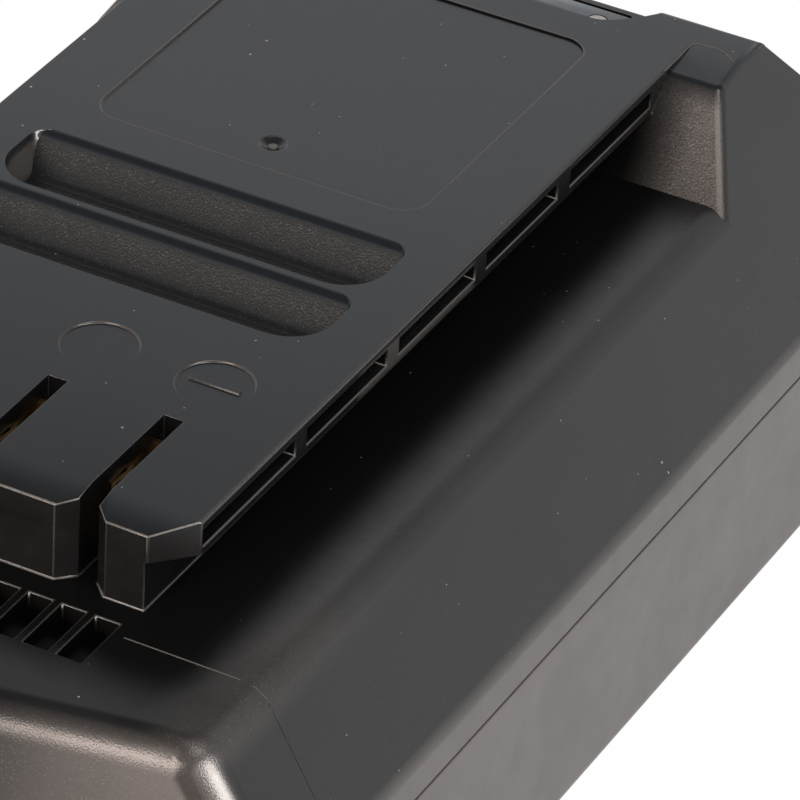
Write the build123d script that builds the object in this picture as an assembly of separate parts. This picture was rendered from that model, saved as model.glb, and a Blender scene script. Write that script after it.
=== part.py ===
from build123d import *
import math
import os

# Sliding battery pack for cordless tools, in millimetres. X runs across the pack,
# +Y to its rear and +Z up. The origin is the centre of the footprint, on the underside.

# Walls and fits
wall = 2.0                 # housing wall
fit_gap = 0.1              # between pieces that are stacked or slipped together
run_gap = 0.08             # radial gap round a piece that slides in a hole
overrun = 1.0              # how far a cutting shape runs past the face it cuts
quarter_turn = 90.0
middle_share = 0.5         # halfway along an edge
rising_share = 0.1         # an edge that climbs at least this much isn't level
level_share = 0.99         # a face whose normal is this upright counts as level

# Cells, standing in two layers of five, two cells end to end
cell_diameter = 18.2
cell_length = 65.0
cap_diameter = 8.6
cap_height = 0.8
cell_columns = 5
cell_layers = 2
cell_web = 0.7             # holder plastic between neighbouring cells
cell_side_gap = 0.3        # from the outer upper cell to the sloping flank
row_gap = 1.2              # between the two rows of cells, end to end

# Cell holders and what lies on them
holder_floor_gap = 0.3
holder_rim = 0.9           # holder plastic under and over the cells
holder_depth = 8.0         # how far a socket reaches over its cell
holder_end_wall = 1.2
holder_side_gap = 0.8      # from a holder to the housing's wall
socket_gap = 0.1
strip_thickness = 0.25
strip_margin = 7.0         # from a cell's axis to the edge of its strip
strip_radius = 3.0
link_width = 10.0
sheet_thickness = 0.3
bar_thickness = 0.7
bar_width = 4.0
block_thickness = 2.75

# Case round the cells
end_room = 13.4            # from the cells' ends to the end walls' inner faces
belt_drop = 0.8            # the belt edge lies this far under the upper cells' axes
flank_angle = 59.5         # slope of the flanks, in degrees
seam_drop = 4.7            # from the belt edge down to the seam
seam_gap = 0.3
base_flare = 0.2           # the side walls stand this much further out at the seam
front_lean = 1.2           # how far the front wall leans back over its height
front_flat_half = 14.0     # half of the front wall's flat middle
front_cheek_angle = 10.6   # how far the front wall turns back beside it, in degrees
rear_lean = 1.5
corner_radius = 6.0
front_corner_radius = 5.0
deck_radius = 4.0
base_radius = 2.5
least_radius_share = 0.25  # a fillet inside the wall keeps at least this share
chamfer_share = 0.6        # of that fillet, for the chamfer that stands in for it
lip_height = 2.0
lip_gap = 0.3

# Rail that slides into the tool
rail_height = 10.45
rail_width = 61.4
rail_shift = -1.8          # the rail's centre line lies off the case's
rail_setback = 24.9        # from the case's front to the rail's
neck_width = 52.8
flange_thickness = 4.35
flange_chamfer_across = 4.0
flange_chamfer_along = 4.3
nose_length = 4.3
nose_drop = 0.92
rail_edge = 0.25

# Windows along the flange's sides
window_height = 2.08
window_drop = 1.26
window_depth = 3.3
window_start = 4.6         # from the rail's front
window_overlap = 5.3       # how far the last window reaches past the shoulder's foot
window_edge_shares = ((0, 0.188), (0.213, 0.383), (0.411, 0.58), (0.607, 0.772), (0.804, 1))

# Contact slots and their round marks
slot_places = (-18.6, 4.3, 18.6)   # across, from the rail's centre line
slot_width = 2.4
slot_length = 19.4
mouth_across = 1.85
mouth_along = 1.8
mark_diameter = 8.8
mark_depth = 0.25
mark_setback = 27.4        # from the rail's front
mark_shift = 0.4
sign_length = 6.2
sign_width = 0.9

# Catch troughs across the rail
trough_half = 24.1
trough_depth = 4.2
front_trough_start = 38.9  # from the rail's front
front_trough_width = 10.7
rear_trough_start = 51.1
rear_trough_width = 11.0
trough_front_angle = 75.0
trough_rear_angle = 50.0
trough_end_angle = 72.0
trough_front_corner = 5.5
trough_rear_corner = 2.8
trough_floor_radius = 1.5
trough_lip_radius = 1.6

# Shallow panel recess on the rail, with a dimple at its front
panel_width = 42.1
panel_length = 44.4
panel_rear_gap = 24.1      # from the case's rear
panel_depth = 0.25
panel_radius = 3.5
dimple_diameter = 3.3
dimple_depth = 0.6
dimple_inset = 5.35        # from the recess's front edge

# Cooling vents in the deck
vent_count = 12
vent_width = 3.0
vent_pitch = 4.05
vent_length = 7.95
vent_setback = 13.7        # from the case's front

# Shoulder behind the rail, where the tool stops
shoulder_rear_gap = 3.85   # from the case's rear to the foot of the shoulder's rear
shoulder_rear_run = 8.75
crown_length = 5.1
brow_length = 6.2
brow_drop = 0.6
shoulder_front_run = 9.5
shoulder_front_corner = 1.4
crown_radius = 1.2

# Scoop in the crown, with the charge display
scoop_depth = 2.7
scoop_front_gap = 18.5     # from the case's rear to the scoop's front edge
scoop_half = 19.0          # half of its straight front edge
scoop_mid_half = 22.6
scoop_mid_run = 3.2
scoop_open_half = 24.6
scoop_front_radius = 3.0
scoop_floor_wall = 1.8
lens_half = 20.0
lens_width = 6.2
lens_thickness = 1.2
lens_ledge = 0.7
lens_front_gap = 0.5       # from the scoop's front edge to the lens
lens_rear_gap = 0.5
lens_side_gap = 0.15
lens_radius = 0.6

# Test button, its switch, and the display's board
button_place = 16.8        # across, from the rail's centre line
button_setback = 3.6       # from the lens's front edge
button_diameter = 2.5
button_flange = 3.2
button_flange_height = 0.6
button_rest_gap = 0.05
button_stem = 1.4
button_travel = 0.5
button_crown = 0.15
switch_size = 3.5
switch_height = 1.5
plunger_diameter = 1.6
plunger_height = 0.7
plunger_depth = 0.3
display_board_thickness = 1.0
display_board_half = 23.6
display_board_width = 7.0
display_board_drop = 2.8   # under the scoop's floor wall
display_post_places = (-21.3, 21.3)
led_places = (-12.0, -6.0, 0.0, 6.0)
led_size = 1.6
led_height = 0.8
guide_width = 2.6
guide_bar_height = 1.2
guide_end = 2.0
ribbon_width = 6.0
ribbon_thickness = 0.3

# Main board in the rail's hollow
hollow_setback = 23.1      # from the rail's front to its hollow
board_thickness = 1.6
board_side_gap = 1.6
board_end_gap = 2.0
board_rear_gap = 6.6       # from the board to the shoulder's foot
board_drop = 3.8           # under the hollow's ceiling
board_post_inset = 3.2
transistor_count = 4
transistor_width = 6.5
transistor_length = 9.0
transistor_height = 2.3
transistor_pitch = 9.5
transistor_setback = 9.0
spreader_thickness = 1.0
spreader_margin = 1.5
chip_size = 9.0
chip_height = 1.4
part_spacing = 8.0

# Contact clips behind the slots
clip_thickness = 0.6
clip_back_half = 2.9
clip_throat_half = 0.45    # half of the gap that grips the tool's blade
clip_mouth_half = 0.85
clip_front_setback = 8.6   # from the rail's front
clip_throat_setback = 11.2
clip_back_setback = 18.2
clip_top_drop = 2.5        # under the rail's top
clip_foot = 2.0
pocket_gap = 0.6
pocket_skin = 2.3
block_margin = 5.0
block_width_along = 15.0

# Screws
case_screw = 1.6           # radii
case_screw_head = 2.8
case_screw_head_height = 2.0
case_screw_length = 24.0
screw_well = 3.3
screw_well_depth = 9.0
screw_seat = 2.5
post_wall = 1.6
rear_post_end_inset = 7.4  # from the case's rear to the screws
rear_post_side_inset = 14.0
front_post_end_inset = 8.8
front_post_side_inset = 21.7
board_screw = 0.9
board_screw_head = 1.8
board_screw_head_height = 1.2
board_post = 2.4
display_post = 1.8
display_screw = 0.6
display_screw_head = 1.2
display_screw_head_height = 0.8
drive_size_share = 0.55    # of a screw's head, for its cross
drive_width_share = 0.22

# Places that follow from the sizes above
cell_pitch = cell_diameter + cell_web
cell_radius = cell_diameter / 2
cell_base = wall + holder_floor_gap + holder_rim
outer_column = cell_pitch * (cell_columns - 1) / 2
upper_axis = cell_base + cell_radius + cell_pitch * (cell_layers - 1)
stack_top = upper_axis + cell_radius
holder_top = stack_top + holder_rim
sheet_top = holder_top + sheet_thickness
bar_top = sheet_top + bar_thickness
block_top = bar_top + fit_gap + block_thickness
deck_under = block_top + fit_gap
deck_height = deck_under + wall
case_height = deck_height + rail_height

flank_run = 1 / math.tan(math.radians(flank_angle))
flank_skew = math.hypot(1, flank_run)
belt_height = upper_axis - belt_drop
belt_half = outer_column + (cell_radius + cell_side_gap + wall) * flank_skew + belt_drop * flank_run
seam_height = belt_height - seam_drop
case_half = belt_half + base_flare
cells_half = cell_length + row_gap / 2
case_end = cells_half + end_room + wall

rail_front = -case_end + rail_setback
rail_half = rail_width / 2
neck_half = neck_width / 2
flange_base = case_height - flange_thickness
tongue_top = case_height - nose_drop

shoulder_rear = case_end - shoulder_rear_gap
crown_rear = shoulder_rear - shoulder_rear_run
brow_rear = crown_rear - crown_length
brow_front = brow_rear - brow_length
shoulder_foot = brow_front - shoulder_front_run

trough_floor = case_height - trough_depth
hollow_top = trough_floor - wall
hollow_front = rail_front + hollow_setback
hollow_half = neck_half - wall

scoop_floor = case_height - scoop_depth
scoop_front = case_end - scoop_front_gap
lens_under = scoop_floor - lens_thickness
pad_under = lens_under - scoop_floor_wall
lens_front = scoop_front + lens_front_gap
display_board_top = pad_under - display_board_drop
display_board_middle = lens_front + lens_width / 2
button_x = rail_shift + button_place
button_y = lens_front + button_setback
switch_top = display_board_top + switch_height
plunger_top = switch_top + plunger_height

board_top = hollow_top - board_drop
board_under = board_top - board_thickness
board_half = hollow_half - board_side_gap
board_front = hollow_front + board_end_gap
board_rear = shoulder_foot - board_rear_gap

clip_back = rail_front + clip_back_setback
clip_top = case_height - clip_top_drop
pocket_front = rail_front + clip_front_setback - pocket_gap
pocket_rear = clip_back + pocket_gap
rear_post_y = case_end - rear_post_end_inset
rear_post_x = case_half - rear_post_side_inset
front_post_y = -case_end + front_post_end_inset
front_post_x = case_half - front_post_side_inset


def block(x_low, x_high, y_low, y_high, z_low, z_high):
    """A box between two corners."""
    place = Pos((x_low + x_high) / 2, (y_low + y_high) / 2, (z_low + z_high) / 2)
    return place * Box(x_high - x_low, y_high - y_low, z_high - z_low)


def post(x, y, z_low, z_high, radius):
    """An upright cylinder."""
    return Pos(x, y, (z_low + z_high) / 2) * Cylinder(radius, z_high - z_low)


def rod(x, z, y_low, y_high, radius):
    """A cylinder along Y."""
    return Pos(x, (y_low + y_high) / 2, z) * Rot(quarter_turn, 0, 0) * Cylinder(radius, y_high - y_low)


def along_y(points, y_low, y_high):
    """An outline of (x, z) points, drawn out along Y."""
    face = make_face(Plane.XZ.offset(-y_low) * Polyline(*points, close=True))
    return extrude(face, amount=y_high - y_low, dir=(0, 1, 0))


def along_x(points, x_low, x_high):
    """An outline of (y, z) points, drawn out along X."""
    face = make_face(Plane.YZ.offset(x_low) * Polyline(*points, close=True))
    return extrude(face, amount=x_high - x_low, dir=(1, 0, 0))


def along_z(points, z_low, z_high):
    """An outline of (x, y) points, drawn out along Z."""
    face = make_face(Plane.XY.offset(z_low) * Polyline(*points, close=True))
    return extrude(face, amount=z_high - z_low, dir=(0, 0, 1))


def rounded_plate(x, y, width, length, radius, z_low, z_high):
    """An upright prism on a rectangle with rounded corners."""
    face = Pos(x, y, z_low) * RectangleRounded(width, length, radius)
    return extrude(face, amount=z_high - z_low, dir=(0, 0, 1))


def inner_radius(radius, inset):
    """The fillet that runs parallel to an outer one, at a depth in the wall."""
    return max(radius - inset, radius * least_radius_share)


def flank_half(z, inset=0):
    """Half the width between the sloping flanks, at a height."""
    return belt_half - (z - belt_height) * flank_run - inset * flank_skew


def heading(edge):
    """The direction of an edge at its middle."""
    return edge.tangent_at(middle_share)


def upright_edges(shape):
    """The corner edges of a case form, which run mostly upwards."""
    edges = shape.edges()
    return edges.filter_by(lambda e: abs(heading(e).Z) > abs(heading(e).X)
                           and abs(heading(e).Z) > abs(heading(e).Y))


def trim_front(form, inset, low, top, lean):
    """Turns the front wall back on both sides of its flat middle."""
    reach = 2 * (case_end + case_half)
    section = ((inset, low), (reach, low), (reach, top), (inset + lean, top))
    for side in (-1, 1):
        keep = along_x(section, -reach, reach)
        form &= (Pos(side * front_flat_half, -case_end, 0)
                 * Rot(0, 0, side * front_cheek_angle) * keep)
    return form


def round_corners(form, inset):
    """Rounds the upright corners of a case form."""
    fronts = upright_edges(form).filter_by(
        lambda e: e.center().Y < 0 and abs(e.center().X) > neck_half)
    if inset:
        form = chamfer(fronts, inner_radius(front_corner_radius, inset) * chamfer_share)
    else:
        form = fillet(fronts, front_corner_radius)
    rears = upright_edges(form).filter_by(lambda e: e.center().Y > rear_post_y)
    if inset:
        return chamfer(rears, inner_radius(corner_radius, inset) * chamfer_share)
    return fillet(rears, corner_radius)


def case_column(inset, top):
    """The case's leaning walls from the seam up to a height, before any edge is rounded."""
    side = case_half - inset
    belt = belt_half - inset
    belt_z = belt_height - inset * (flank_skew - 1) / flank_run
    crest = flank_half(top, inset)
    rise = (top - seam_height) / (deck_height - seam_height)
    across = along_y(((-side, seam_height), (side, seam_height), (belt, belt_z), (crest, top),
                      (-crest, top), (-belt, belt_z)), -case_end, case_end)
    front = -case_end + inset
    rear = case_end - inset
    along = along_x(((front, seam_height), (rear, seam_height), (rear - rear_lean * rise, top),
                     (front + front_lean * rise, top)), -case_half, case_half)
    return trim_front(across & along, inset, seam_height, top, front_lean * rise)


def upper_form(inset):
    """The case above the seam, up to the deck, without its rail; inset by a depth of wall."""
    form = case_column(inset, deck_height - inset)
    form = round_corners(form, inset)
    return fillet(form.faces().sort_by(Axis.Z)[-1].edges(), inner_radius(deck_radius, inset))


def lower_form(inset):
    """The tray under the seam, inset by a depth of wall."""
    form = wall_prism(inset, inset, seam_height)
    if inset:
        return form
    return fillet(form.faces().sort_by(Axis.Z)[0].edges(), base_radius)


def wall_prism(inset, low, high):
    """An upright prism on the tray's plan, at a depth in its walls."""
    half = case_half - inset
    end = case_end - inset
    form = trim_front(block(-half, half, -end, end, low, high), inset, low, high, 0)
    return round_corners(form, inset)


def shoulder_section(inset, low):
    """The shoulder's outline from the side, from a height low up to its crown."""
    front_slope = shoulder_front_run / (rail_height - brow_drop)
    rear_slope = shoulder_rear_run / rail_height
    brow = case_height - brow_drop - inset
    crown = case_height - inset
    front_skew = inset * math.hypot(1, front_slope)
    rear_skew = inset * math.hypot(1, rear_slope)

    def front_at(z):
        return shoulder_foot + (z - deck_height) * front_slope + front_skew

    def rear_at(z):
        return shoulder_rear - (z - deck_height) * rear_slope - rear_skew

    return ((front_at(low), low), (front_at(brow), brow), (brow_rear, crown),
            (rear_at(crown), crown), (rear_at(low), low))


def shoulder_form(inset, low):
    """The shoulder, whose flanks run on from the case's."""
    section = along_x(shoulder_section(inset, low), -case_half, case_half)
    foot = flank_half(low, inset)
    crown = flank_half(case_height - inset, inset)
    across = along_y(((-foot, low), (foot, low), (crown, case_height - inset),
                      (-crown, case_height - inset)), shoulder_foot - overrun, case_end)
    return section & across


def shoulder():
    """The shoulder's outside, with its corners rounded."""
    form = shoulder_form(0, deck_height - deck_radius - overrun)
    rear = form.faces().sort_by(Axis.Y)[-1]
    corners = rear.edges().filter_by(lambda e: abs(heading(e).Z) > rising_share)
    form = fillet(corners, corner_radius)
    fronts = form.edges().filter_by(lambda e: abs(heading(e).Z) > rising_share
                                    and e.center().Y < brow_front
                                    and e.center().Z < case_height - brow_drop)
    form = fillet(fronts, shoulder_front_corner)
    crown = form.faces().filter_by(lambda f: f.normal_at().Z > level_share).sort_by(Axis.Z)[-1]
    sides = crown.edges().filter_by(lambda e: abs(e.center().Y - brow_rear) > fit_gap)
    form = fillet(sides, crown_radius)
    return form & round_corners(case_column(0, case_height), 0)


def flange_outline():
    """The flange in plan, with straight sides and chamfered front corners."""
    front = rail_front
    corner = front + flange_chamfer_along
    square = rail_half - flange_chamfer_across
    return ((rail_shift - square, front), (rail_shift + square, front),
            (rail_shift + rail_half, corner), (rail_shift + rail_half, brow_rear),
            (rail_shift - rail_half, brow_rear), (rail_shift - rail_half, corner))


def rail():
    """The neck and flange of the slide, with the sloping nose."""
    flange = along_z(flange_outline(), flange_base, case_height)
    nose = along_x(((rail_front - overrun, tongue_top - overrun * nose_drop / nose_length),
                    (rail_front + nose_length, case_height),
                    (rail_front + nose_length, case_height + overrun),
                    (rail_front - overrun, case_height + overrun)),
                   rail_shift - rail_width, rail_shift + rail_width)
    flange -= nose
    top = flange.faces().sort_by(Axis.Z)[-1]
    flange = chamfer(top.edges().filter_by(Axis.Y), rail_edge)
    neck = block(rail_shift - neck_half, rail_shift + neck_half, rail_front, brow_rear,
                 deck_under, flange_base + fit_gap)
    return flange + neck


def flange_windows():
    """The row of narrow windows in each side of the flange."""
    cuts = []
    run = shoulder_foot + window_overlap - rail_front - window_start
    for side in (-1, 1):
        edge = rail_shift + side * rail_half
        inner = edge - side * window_depth
        outer = edge + side * overrun
        for low_share, high_share in window_edge_shares:
            cuts.append(block(min(inner, outer), max(inner, outer),
                              rail_front + window_start + run * low_share,
                              rail_front + window_start + run * high_share,
                              case_height - window_drop - window_height,
                              case_height - window_drop))
    return cuts


def contact_slots():
    """The open slots for the tool's blades, with flared mouths, and the clips' pockets."""
    cuts = []
    half = slot_width / 2
    for place in slot_places:
        x = rail_shift + place
        mouth = half + mouth_across
        cuts.append(along_z(((x - mouth - mouth_across, rail_front - mouth_along),
                             (x + mouth + mouth_across, rail_front - mouth_along),
                             (x + half, rail_front + mouth_along),
                             (x + half, rail_front + slot_length),
                             (x - half, rail_front + slot_length),
                             (x - half, rail_front + mouth_along)),
                            deck_height, case_height + overrun))
        pocket = clip_back_half + pocket_gap
        cuts.append(block(x - pocket, x + pocket, pocket_front, pocket_rear,
                          deck_under - overrun, case_height - pocket_skin))
    return cuts


def contact_marks():
    """Round marks behind the slots; the outer two carry a minus and a plus sign."""
    cuts = []
    floor = case_height - mark_depth
    y = rail_front + mark_setback
    for place in slot_places:
        x = rail_shift + place + mark_shift
        mark = post(x, y, floor, case_height + overrun, mark_diameter / 2)
        bar = block(x - sign_length / 2, x + sign_length / 2, y - sign_width / 2,
                    y + sign_width / 2, floor - overrun, case_height)
        stem = block(x - sign_width / 2, x + sign_width / 2, y - sign_length / 2,
                     y + sign_length / 2, floor - overrun, case_height)
        if place == max(slot_places):
            mark -= bar
        if place == min(slot_places):
            mark -= bar + stem
        cuts.append(mark)
    return cuts


def trough(start, width):
    """One catch trough: a steep front wall, a sloping rear wall and rounded corners in plan."""
    front = rail_front + start
    rear = front + width
    front_run = trough_depth / math.tan(math.radians(trough_front_angle))
    rear_run = trough_depth / math.tan(math.radians(trough_rear_angle))
    lip_run = trough_lip_radius * math.tan(math.radians(trough_rear_angle) / 2)
    top = case_height + overrun
    section = Polyline((front - overrun * front_run / trough_depth, top),
                       (front + front_run, trough_floor), (rear - rear_run, trough_floor),
                       (rear, case_height), (rear + lip_run + overrun, case_height),
                       (rear + lip_run + overrun, top), close=True)
    section = make_face(Plane.YZ.offset(rail_shift - trough_half - overrun) * section)
    floor_corners = section.vertices().filter_by(lambda v: abs(v.Z - trough_floor) < fit_gap)
    section = fillet(floor_corners, trough_floor_radius)
    lip = section.vertices().filter_by(lambda v: abs(v.Z - case_height) < fit_gap
                                       and abs(v.Y - rear) < fit_gap)
    section = fillet(lip, trough_lip_radius)
    body = extrude(section, amount=2 * (trough_half + overrun), dir=(1, 0, 0))
    plan_rear = rear + lip_run
    face = Pos(rail_shift, (front + plan_rear) / 2, case_height) * Rectangle(
        2 * trough_half, plan_rear - front)
    fronts = face.vertices().filter_by(lambda v: v.Y < rear - width / 2)
    face = fillet(fronts, trough_front_corner)
    rears = face.vertices().filter_by(lambda v: v.Y > plan_rear - fit_gap)
    face = fillet(rears, trough_rear_corner)
    taper = quarter_turn - trough_end_angle
    plan = extrude(face, amount=-trough_depth, taper=taper)
    return (body & plan) + (body & extrude(face, amount=overrun))


def panel_recess():
    """The shallow rounded recess on the rail's top and the dimple near its front edge."""
    rear = case_end - panel_rear_gap
    middle = rear - panel_length / 2
    recess = rounded_plate(rail_shift, middle, panel_width, panel_length, panel_radius,
                           case_height - panel_depth, case_height + overrun)
    ball_radius = (dimple_diameter ** 2 / 4 + dimple_depth ** 2) / (2 * dimple_depth)
    ball_z = case_height - panel_depth - dimple_depth + ball_radius
    dimple = Pos(rail_shift, rear - panel_length + dimple_inset, ball_z) * Sphere(ball_radius)
    return [recess, dimple]


def deck_vents():
    """The row of vents through the deck before the rail."""
    cuts = []
    start = -case_end + vent_setback
    for index in range(vent_count):
        x = (index - (vent_count - 1) / 2) * vent_pitch
        cuts.append(block(x - vent_width / 2, x + vent_width / 2, start, start + vent_length,
                          deck_under - overrun, deck_height + overrun))
    return cuts


def scoop_outline(margin):
    """The scoop in plan, open at the rear, widened by a margin."""
    front = scoop_front - margin
    middle = scoop_front + scoop_mid_run
    half = scoop_half + margin / 2
    mid_half = scoop_mid_half + margin
    open_half = scoop_open_half + margin
    return ((rail_shift - half, front), (rail_shift + half, front),
            (rail_shift + mid_half, middle), (rail_shift + open_half, crown_rear),
            (rail_shift + open_half, case_end), (rail_shift - open_half, case_end),
            (rail_shift - open_half, crown_rear), (rail_shift - mid_half, middle))


def scoop():
    """The scoop with its front corners rounded."""
    form = along_z(scoop_outline(0), scoop_floor, case_height + overrun)
    corners = form.edges().filter_by(Axis.Z).filter_by(
        lambda e: e.center().Y < scoop_front + scoop_mid_run + fit_gap)
    return fillet(corners, scoop_front_radius)


def lens_plate(gap_side, gap_front, gap_rear, z_low, z_high):
    """The display lens in plan, with a gap all round; the seat and the window are its kin."""
    low = lens_front - gap_front
    high = lens_front + lens_width + gap_rear
    return rounded_plate(rail_shift, (low + high) / 2, 2 * (lens_half + gap_side), high - low,
                         lens_radius, z_low, z_high)


def housing_hollow():
    """Everything that is open inside the upper housing."""
    hollow = upper_form(wall)
    hollow += block(rail_shift - hollow_half, rail_shift + hollow_half, hollow_front,
                    shoulder_foot + wall + overrun, deck_under - overrun, hollow_top)
    chamber = shoulder_form(wall, deck_under - overrun)
    pad = along_z(scoop_outline(wall), pad_under, case_height)
    return hollow + (chamber - pad)


def upper_housing():
    """The upper half of the case, with rail, shoulder, slots, troughs and display seat."""
    shell = upper_form(0) + shoulder() + rail()
    shell -= housing_hollow()
    shell -= upper_form(wall / 2) & block(-case_half, case_half, -case_end, case_end,
                                          seam_height - overrun, seam_height + lip_height + lip_gap)
    shell -= block(-case_half, case_half, -case_end, case_end,
                   seam_height - overrun, seam_height + seam_gap / 2)
    for cut in contact_slots() + flange_windows() + contact_marks() + panel_recess():
        shell -= cut
    for cut in deck_vents():
        shell -= cut
    shell -= trough(front_trough_start, front_trough_width)
    shell -= trough(rear_trough_start, rear_trough_width)
    shell -= scoop()
    shell -= lens_plate(lens_side_gap, lens_side_gap, lens_rear_gap, lens_under,
                        scoop_floor + overrun)
    shell -= lens_plate(-lens_ledge, -lens_ledge, -lens_ledge, pad_under - overrun,
                        lens_under + overrun)
    for x, y in case_screw_places():
        tube = post(x, y, seam_height + seam_gap, deck_under + fit_gap, case_screw + post_wall)
        bore = post(x, y, seam_height, screw_well_depth + case_screw_length + overrun,
                    case_screw + fit_gap / 2)
        shell += tube - bore
    for x, y in board_screw_places():
        tube = post(x, y, board_top, hollow_top + fit_gap, board_post)
        shell += tube - post(x, y, board_top - overrun, hollow_top - fit_gap,
                             board_screw + fit_gap / 2)
    for x, y in display_screw_places():
        tube = post(x, y, display_board_top, pad_under + fit_gap, display_post)
        shell += tube - post(x, y, display_board_top - overrun, pad_under - fit_gap,
                             display_screw + fit_gap / 2)
    return shell


def lower_housing():
    """The tray under the cells, with its lip, screw wells and the plate recess."""
    tray = lower_form(0) - lower_form(wall)
    tray -= block(-case_half, case_half, -case_end, case_end, seam_height - seam_gap / 2,
                  seam_height + overrun)
    lip_low = seam_height - wall
    lip_high = seam_height + lip_height
    tray += wall_prism(wall / 2 + lip_gap, lip_low, lip_high) - wall_prism(wall, lip_low, lip_high)
    for x, y in case_screw_places():
        shaft = case_screw + fit_gap
        tray += post(x, y, wall / 2, screw_well_depth + screw_seat, screw_well + post_wall)
        tray += post(x, y, wall / 2, seam_height, case_screw + post_wall)
        tray -= post(x, y, -overrun, screw_well_depth, screw_well)
        tray -= post(x, y, 0, seam_height + overrun, shaft)
    return tray


def case_screw_places():
    """Four screws, one near each corner of the case."""
    return [(-front_post_x, front_post_y), (front_post_x, front_post_y),
            (-rear_post_x, rear_post_y), (rear_post_x, rear_post_y)]


def board_screw_places():
    """Four screws that hold the main board up to the rail."""
    inset = board_post_inset
    return [(rail_shift + side * (board_half - inset), y) for side in (-1, 1)
            for y in (board_front + inset, board_rear - inset)]


def display_screw_places():
    """Two screws that hold the display board under the scoop."""
    return [(rail_shift + place, display_board_middle) for place in display_post_places]


def column_x(column):
    """The place of a column of cells across the pack."""
    return column * cell_pitch - outer_column


def layer_z(layer):
    """The height of the axes of a layer of cells."""
    return cell_base + cell_radius + layer * cell_pitch


def cell(column, layer, row):
    """One cell; the cap points forwards in every other column."""
    low = row_gap / 2 if row else -cells_half
    high = low + cell_length
    x = column_x(column)
    z = layer_z(layer)
    if column % 2:
        return rod(x, z, low + cap_height, high, cell_radius) + rod(
            x, z, low, low + cap_height + fit_gap, cap_diameter / 2)
    return rod(x, z, low, high - cap_height, cell_radius) + rod(
        x, z, high - cap_height - fit_gap, high, cap_diameter / 2)


def strip_outline(first, last, margin):
    """The width and middle of a strip over some columns, and its height and middle."""
    width = column_x(last) - column_x(first) + 2 * margin
    height = layer_z(cell_layers - 1) - layer_z(0) + 2 * margin
    x = (column_x(first) + column_x(last)) / 2
    z = (layer_z(0) + layer_z(cell_layers - 1)) / 2
    return x, z, width, height


def strip(first, last, margin, y_low, y_high):
    """A flat strip with rounded corners that lies on the ends of some columns of cells."""
    x, z, width, height = strip_outline(first, last, margin)
    face = Plane.XZ.offset(-y_low) * Pos(x, z) * RectangleRounded(width, height, strip_radius)
    return extrude(face, amount=y_high - y_low, dir=(0, 1, 0))


front_groups = ((0, 1), (2, 3), (4, 4))
rear_groups = ((0, 0), (1, 2), (3, 4))


def holder_body(y_low, y_high):
    """A slice of the cells' surroundings, before its sockets are cut."""
    gap = wall + holder_side_gap
    inside = upper_form(gap) + lower_form(gap)
    half = belt_half
    body = inside & block(-half, half, y_low, y_high, wall + holder_floor_gap, holder_top)
    floor = block(-half, half, y_low, y_high, wall + holder_floor_gap, wall + gap)
    return body + (floor & block(-outer_column - cell_radius, outer_column + cell_radius,
                                 y_low, y_high, 0, holder_top))


def sockets(y_low, y_high):
    """Round sockets for every column and layer of cells."""
    cuts = []
    for column in range(cell_columns):
        for layer in range(cell_layers):
            cuts.append(rod(column_x(column), layer_z(layer), y_low, y_high,
                            cell_radius + socket_gap))
    return cuts


def end_holder(side):
    """The holder at the front (side -1) or rear (side 1) end of the cells."""
    inner = side * (cells_half - holder_depth)
    seat = side * cells_half
    outer = side * (cells_half + holder_end_wall)
    body = holder_body(min(inner, outer), max(inner, outer))
    for cut in sockets(min(inner - side * overrun, seat), max(inner - side * overrun, seat)):
        body -= cut
    groups = front_groups if side < 0 else rear_groups
    for first, last in groups:
        low = min(seat - side * overrun, outer + side * overrun)
        high = max(seat - side * overrun, outer + side * overrun)
        body -= strip(first, last, strip_margin + fit_gap, low, high)
    return body


def middle_holder():
    """The holder between the two rows of cells, open where the links join them."""
    reach = holder_depth + row_gap / 2
    body = holder_body(-reach, reach)
    for cut in sockets(-reach - overrun, -row_gap / 2) + sockets(row_gap / 2, reach + overrun):
        body -= cut
    for column in range(cell_columns):
        x, z, width, height = strip_outline(column, column, link_width / 2 + fit_gap)
        body -= block(x - width / 2, x + width / 2, -row_gap, row_gap,
                      z - height / 2, z + height / 2)
    return body


def middle_link(column):
    """A folded strip that joins the two rows of one column, end to end."""
    x, z, width, height = strip_outline(column, column, link_width / 2)
    half = row_gap / 2
    outer = block(x - width / 2, x + width / 2, -half, half, z - height / 2, z + height / 2)
    inner = block(x - width, x + width, strip_thickness - half, half - strip_thickness,
                  z - height / 2 - overrun, z + height / 2 - strip_thickness)
    return outer - inner


def end_strip(first, last, side):
    """A strip at the front (side -1) or rear (side 1) of the cells."""
    seat = side * cells_half
    outer = side * (cells_half + strip_thickness)
    return strip(first, last, strip_margin, min(seat, outer), max(seat, outer))


def insulation_sheet():
    """The thin sheet over the cells, which keeps the electronics off them."""
    half = flank_half(sheet_top, wall) - holder_side_gap
    return block(-half, half, -cells_half, cells_half, holder_top, sheet_top)


def power_bar(side):
    """The bar from a contact clip to the strip at the front (side -1) or rear (side 1)."""
    clip_x = rail_shift - side * max(slot_places)
    strip_x = -side * outer_column
    half = bar_width / 2
    end = side * (cells_half + holder_end_wall + fit_gap)
    tip = end + side * bar_thickness
    cross = block(min(clip_x, strip_x) - half, max(clip_x, strip_x) + half,
                  clip_back - half, clip_back + half, sheet_top, bar_top)
    run = block(strip_x - half, strip_x + half, min(tip, clip_back - half),
                max(tip, clip_back + half), sheet_top, bar_top)
    drop = block(strip_x - half, strip_x + half, min(end, tip), max(end, tip),
                 upper_axis, bar_top)
    weld = side * (cells_half + strip_thickness)
    foot = block(strip_x - half, strip_x + half, min(weld, tip), max(weld, tip),
                 upper_axis, upper_axis + bar_width)
    return cross + run + drop + foot


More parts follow.
